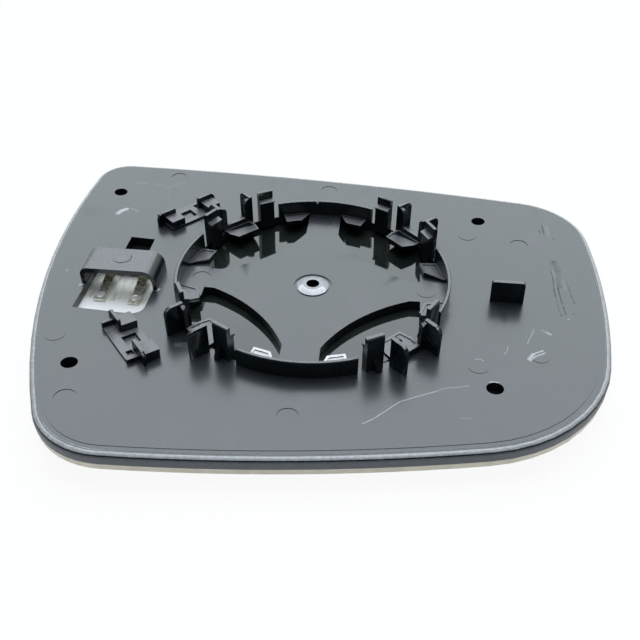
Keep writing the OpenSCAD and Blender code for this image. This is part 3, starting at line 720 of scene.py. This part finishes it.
# A copy of a CAD node's mesh with its loose triangles joined
def mergedCopy(nodeName, newName, s):
    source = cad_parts[nodeName]
    mesh = source.data.copy()
    mesh.name = newName
    piece = bpy.data.objects.new(newName, mesh)
    bpy.context.scene.collection.objects.link(piece)
    work = bmesh.new()
    work.from_mesh(mesh)
    bmesh.ops.remove_doubles(work, verts=work.verts, dist=s["merge"])
    work.to_mesh(mesh)
    work.free()
    mesh.materials.clear()
    return piece


# Ejector marks in mm from the ring's centre. The solids have all of them sunk.
markSettings = {
    "raised": [(51.2, 33.4), (-72.3, -35.3), (51, -34.4), (68.7, -29.6), (36.7, 0)],
    "sunk": [(-59.5, 60.5), (-0.4, 59.5), (68.4, 28.2), (-59.7, -60), (0, -59), (-36.7, 0),
             (-0.3, 37.5)],
    "reach": 0.0031,
    "depth": 0.00015,
    "lift": 0.00025,
    "tolerance": 0.00003,
    "line": 0.0034,                 # reach of the dark line round a mark
}
# The wall of the clip ring has a round top
ringTopSettings = {
    "radii": (0.0428, 0.044),
    "above": 0.0063,
    "round": 0.00036,
    "segments": 3,
    "heightTolerance": 0.00002,
    "radiusTolerance": 0.00004,
    "across": 0.0003,               # an edge whose ends differ more goes across the wall
}


def raiseMarks(piece, s):
    centre = Vector((0, 0, layout["mirrorRadius"]))
    spots = [Vector(fromRing(*spot)) for spot in s["raised"]]
    floorDepth = layout["mirrorRadius"] - layout["deck"] + s["depth"]
    moved = 0
    for vertex in piece.data.vertices:
        away = vertex.co - centre
        onFloor = abs(away.length - floorDepth) < s["tolerance"]
        if onFloor and any((vertex.co.xy - spot).length < s["reach"] for spot in spots):
            vertex.co = centre + away * (1 - s["lift"] / away.length)
            moved += 1
    print("corners of raised marks:", moved)


def roundRingTop(piece, s):
    middle = Vector(fromRing(0, 0))
    deckRadius = layout["mirrorRadius"] - layout["deck"]
    ringZ = layout["mirrorRadius"] - math.sqrt(deckRadius ** 2 - middle.length_squared)
    selectOnly(piece)
    bpy.ops.object.mode_set(mode="EDIT")
    bpy.ops.mesh.select_all(action="DESELECT")
    bpy.ops.object.mode_set(mode="OBJECT")
    radii = [(v.co.xy - middle).length for v in piece.data.vertices]
    onTop = [abs(v.co.z - ringZ - s["above"]) < s["heightTolerance"] and
             min(abs(radius - r) for r in s["radii"]) < s["radiusTolerance"]
             for v, radius in zip(piece.data.vertices, radii)]
    chosen = 0
    for edge in piece.data.edges:
        a, b = edge.vertices
        sameSide = abs(radii[a] - radii[b]) < s["across"]
        edge.select = bool(onTop[a] and onTop[b] and sameSide)
        chosen += edge.select
    bpy.ops.object.mode_set(mode="EDIT")
    bpy.ops.mesh.select_mode(type="EDGE")
    bpy.ops.mesh.bevel(offset=s["round"], segments=s["segments"], affect="EDGES")
    bpy.ops.object.mode_set(mode="OBJECT")
    print("edges rounded on the ring:", chosen)


# A fine bevel on the sharp edges, as every moulded edge has
def roundEdges(piece, width, slot, s):
    selectOnly(piece)
    bevel = piece.modifiers.new("edges", "BEVEL")
    bevel.width = width
    bevel.segments = s["bevelSegments"]
    bevel.limit_method = "ANGLE"
    bevel.angle_limit = math.radians(s["bevelAngle"])
    bevel.use_clamp_overlap = True
    bevel.material = slot
    bpy.ops.object.modifier_apply(modifier="edges")


# Smooth shading, with the exact normals of the concentric spheres on the faces that lie on them
def shadeOnSpheres(piece, angle, heights, s):
    selectOnly(piece)
    bpy.ops.object.shade_smooth_by_angle(angle=math.radians(angle))
    weighted = piece.modifiers.new("flats", "WEIGHTED_NORMAL")
    weighted.mode = "FACE_AREA"
    weighted.weight = s["flatsWeight"]
    weighted.keep_sharp = True
    bpy.ops.object.modifier_apply(modifier="flats")
    mesh = piece.data
    normals = np.zeros(len(mesh.loops) * 3)
    mesh.corner_normals.foreach_get("vector", normals)
    normals = normals.reshape(-1, 3)
    points = np.zeros(len(mesh.vertices) * 3)
    mesh.vertices.foreach_get("co", points)
    radial = np.array((0, 0, layout["mirrorRadius"])) - points.reshape(-1, 3)
    distance = np.linalg.norm(radial, axis=1)
    radial /= distance[:, None]
    depth = layout["mirrorRadius"] - distance
    found = 0
    for face in mesh.polygons:
        d = depth[list(face.vertices)]
        facing = float(np.dot(face.normal, radial[face.vertices[0]]))
        onOne = any(np.abs(d - height).max() < s["sphereTolerance"] for height in heights)
        if abs(facing) < s["onSphere"] or not onOne:
            continue
        for loop in face.loop_indices:
            vertex = mesh.loops[loop].vertex_index
            normals[loop] = math.copysign(1.0, facing) * radial[vertex]
        found += 1
    mesh.normals_split_custom_set(normals.tolist())
    print(piece.name, "faces on spheres:", found, "of", len(mesh.polygons))


def dress(nodeName, newName, materials, angle, heights=(), bevel=None, bevelSlot=-1):
    piece = mergedCopy(nodeName, newName, meshSettings)
    for material in materials:
        piece.data.materials.append(material)
    if nodeName == "backing_plate":
        raiseMarks(piece, markSettings)
        roundRingTop(piece, ringTopSettings)
    if bevel:
        roundEdges(piece, bevel, bevelSlot, meshSettings)
    shadeOnSpheres(piece, angle, heights, meshSettings)
    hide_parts(nodeName)
    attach(piece, "root")
    return piece


# Convex outline seen from above, with the inward direction of each side
def outlineOf(piece):
    points = sorted({(round(v.co.x, 6), round(v.co.y, 6)) for v in piece.data.vertices})

    def half(run):
        chain = []
        for p in run:
            while len(chain) > 1:
                (ax, ay), (bx, by) = chain[-2:]
                if (bx - ax) * (p[1] - ay) > (by - ay) * (p[0] - ax):
                    break
                chain.pop()
            chain.append(p)
        return chain[:-1]

    corners = np.array(half(points) + half(points[::-1]))
    along = np.roll(corners, -1, axis=0) - corners
    sideways = np.stack([-along[:, 1], along[:, 0]], axis=1)
    return corners, sideways / np.linalg.norm(along, axis=1)[:, None]


# The plate's materials, and the slot that each one takes
plateMaterials = {
    "walls": makeWallMaterial(wallLook),
    "tops": makeGrained("grainedTopsPaintedSheen", topSheenLook),
    "edges": makeGrained("edgesPaintedHighlight", edgeHighlightLook),
    "back": makeBackMaterial(plateLook),
    "rim": makeGrained("satinRim", rimLook),
    "marks": makeMarkLine(markLineLook),
    "step": makeGrained("stepPaintedHighlight", stepHighlightLook),
    "shelves": makeGrained("shelvesPaintedHighlight", shelfHighlightLook),
}
slotNames = list(plateMaterials)

# Where each material goes. Heights are over the deck and insets from the outline, in metres.
# A facing is the least part of a normal upwards, or for the rim away from the deck.
sortSettings = {
    "above": 0.00055,
    "facing": 0.85,
    "edgeFacing": 0.15,
    "rimInset": (0.0003, 0.0048),
    "rimBelow": -0.0007,
    "rimFacing": -0.2,
    "innerStep": 0.003,
    "outerInset": 0.0012,
    "outerBelow": -0.0003,
    "outerSlope": 0.5,
    "tabFoot": ((56.0, -5.6), (67.2, -2.2)),    # mm from the ring's centre
    "shelfFront": -0.029,
    "shelfSide": 0.02,
    "shelfReach": 0.0425,
    "shelfFacing": 0.5,
    "coneReach": 0.0063,
    "coneAbove": 0.0001,
    "coneFacing": 0.2,
    "coneFront": -0.15,
}


def sortPlateFaces(piece, s):
    corners, inwards = outlineOf(piece)
    centre = Vector((0, 0, layout["mirrorRadius"]))
    middle = Vector(fromRing(0, 0))
    tabStart, tabEnd = (fromRing(*corner) for corner in s["tabFoot"])
    marks = [Vector(fromRing(*spot)) for spot in markSettings["raised"] + markSettings["sunk"]]
    counts = dict.fromkeys(slotNames, 0)
    for face in piece.data.polygons:
        away = centre - face.center
        above = layout["mirrorRadius"] - away.length - layout["deck"]
        facing = face.normal.dot(away) / away.length
        upwards = face.normal.z
        x, y = face.center[:2]
        inset = ((np.array((x, y)) - corners) * inwards).sum(axis=1).min()
        inRim = s["rimInset"][0] < inset < s["rimInset"][1] and s["rimBelow"] < above < s["above"]
        atTab = tabStart[0] < x < tabEnd[0] and tabStart[1] < y < tabEnd[1] and above < s["above"]
        atMark = min((Vector((x, y)) - spot).length for spot in marks) < markSettings["line"]
        fromMiddle = Vector((x, y)) - middle
        name = slotNames[face.material_index]
        if abs(above) < s["above"] and facing > meshSettings["onSphere"]:
            name = "back"
        elif atMark and abs(above) < s["above"]:
            name = "marks"
        # Painted highlights: the rim's inner step and its edge lines take the pale step and edge
        # slots
        elif inRim and facing > s["rimFacing"]:
            name = "step" if inset > s["innerStep"] else "edges"
        elif inset < s["outerInset"] and above < s["outerBelow"] and abs(upwards) < s["outerSlope"]:
            name = "rim"
        elif name == "edges" and (upwards < s["edgeFacing"] or not (above > s["above"] or atTab)):
            name = "walls"
        # Upward faces of the raised features take the paler tops: painted sheen
        elif name == "walls" and above > s["above"] and upwards > s["facing"]:
            name = "tops"
        # The front shelves' tops take a painted reflection
        onShelf = fromMiddle.y < s["shelfFront"] and abs(fromMiddle.x) < s["shelfSide"]
        if onShelf and upwards > s["shelfFacing"] and above > s["above"]:
            if fromMiddle.length < s["shelfReach"]:
                name = "shelves"
        # Painted highlight on the centre cone: near white on its front, edge colour on the rest of
        # its top
        if fromMiddle.length < s["coneReach"] and above > s["coneAbove"]:
            if upwards > s["coneFacing"]:
                name = "step" if face.normal.y < s["coneFront"] else "edges"
        face.material_index = slotNames.index(name)
        counts[name] += 1
    print("plate faces:", counts)


# Shading angles in degrees, and bevels in metres
pieceSettings = {
    "plateAngle": 38.0,
    "glassAngle": 20.0,
    "sheetAngle": 30.0,
    "plateBevel": 0.00014,
    "bladeBevel": 0.00008,
    "rivetBevel": 0.00015,
    "rimDepths": (0.00015, 0.00025),            # the lowered band and the rim's top, under the deck
}
sheetAngle = pieceSettings["sheetAngle"]
deck, glassTop, filmTop = layout["deck"], layout["glassTop"], layout["filmTop"]

plate = dress("backing_plate", "backingPlate", plateMaterials.values(),
              pieceSettings["plateAngle"],
              (deck, *(deck - depth for depth in pieceSettings["rimDepths"]),
               layout["adhesiveTop"], glassTop),
              pieceSettings["plateBevel"], slotNames.index("edges"))
sortPlateFaces(plate, sortSettings)
print("plate dressed")

glassMaterials = [makeGlassEdge(glassLook), makeSilver(glassLook), makeBackCoat(glassLook)]
glass = dress("mirror_glass", "mirrorGlass", glassMaterials,
              pieceSettings["glassAngle"], (0.0, glassTop))
for face in glass.data.polygons:
    if face.normal.z < -glassLook["flat"]:
        face.material_index = 1
    elif face.normal.z > glassLook["flat"]:
        face.material_index = 2
dress("heater_film", "heaterFilm", [makeFilmMaterial(filmLook)], sheetAngle,
      (glassTop, filmTop))
dress("adhesive_sheet", "adhesiveSheet", [makeAdhesive(adhesiveLook)], sheetAngle,
      (filmTop, layout["adhesiveTop"]))
dress("terminal_patch", "terminalPatch", [makePatch(patchLook)], sheetAngle,
      (filmTop, layout["patchTop"]))
bladeMetal = makeTerminalMetal(metalLook)
rivetMetal = makeRivetMetal(metalLook)
for side in ("left", "right"):
    dress("terminal_" + side, "terminal" + side.title(), [bladeMetal], sheetAngle,
          bevel=pieceSettings["bladeBevel"])
    dress("rivet_" + side, "rivet" + side.title(), [rivetMetal], sheetAngle,
          bevel=pieceSettings["rivetBevel"])
print("glass, sheets and terminals dressed")
